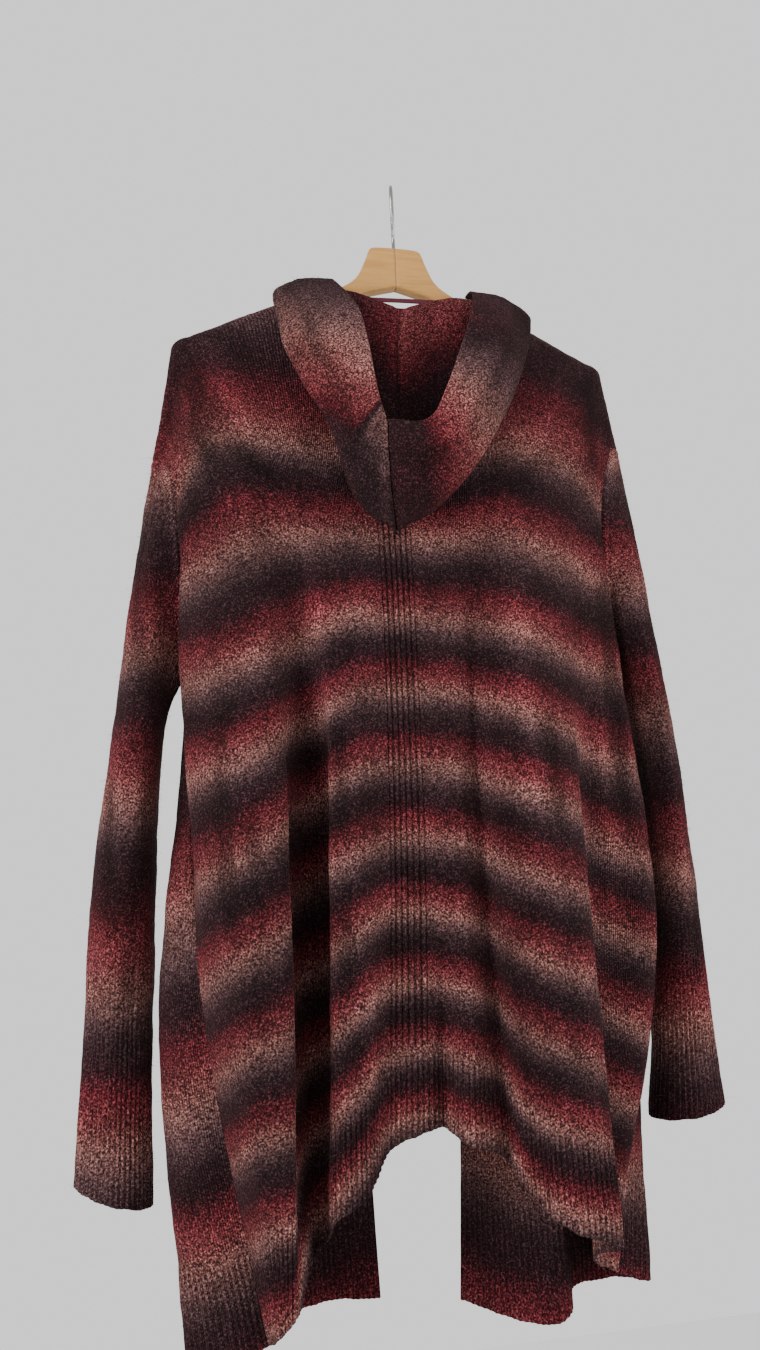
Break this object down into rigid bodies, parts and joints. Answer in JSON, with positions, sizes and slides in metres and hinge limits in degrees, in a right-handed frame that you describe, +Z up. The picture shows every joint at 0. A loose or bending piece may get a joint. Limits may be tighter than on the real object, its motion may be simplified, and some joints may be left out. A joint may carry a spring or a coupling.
{
  "type": "hooded cardigan on a wooden clothes hanger",
  "caption": "Loose knitted hooded cardigan with dropped shoulders, ribbed hem and cuffs and an open front, hung on a wooden hanger.",
  "frame": {"origin": "inner top of the hanger's hook, where it rests on a rail", "axes": "+Z up along the hang, -Y towards the viewer of the garment's back, +Y towards its open front, +X to the right seen from behind"},
  "size_m": [0.5935, 0.1638, 1.0977],
  "materials": {
    "knit_red": "soft striped knit, red to tan to charcoal",
    "knit_dark": "ribbed knit, dark maroon to charcoal",
    "knit_rose": "soft striped knit, salmon to grey",
    "tape": "narrow woven ribbon",
    "wood": "clear varnished pale wood",
    "steel": "bright plated wire"
  },
  "bodies": {
    "root": {"back_left": "knit_red", "back_rib_insert": "knit_dark", "back_right": "knit_red", "front_left": "knit_rose", "front_right": "knit_rose", "hem_back_left": "knit_dark", "hem_back_centre": "knit_dark", "hem_back_right": "knit_dark", "hem_front_left": "knit_red", "hem_front_right": "knit_red", "sleeve_left": "knit_red", "sleeve_right": "knit_red", "cuff_left": "knit_dark", "cuff_right": "knit_dark", "hood_left": "knit_rose", "hood_right": "knit_rose", "hood_band_left": "knit_dark", "hood_band_right": "knit_dark", "neck_tape": "tape", "hanger_arm_left": "wood", "hanger_arm_right": "wood", "hanger_hook": "steel"}
  },
  "joints": []
}
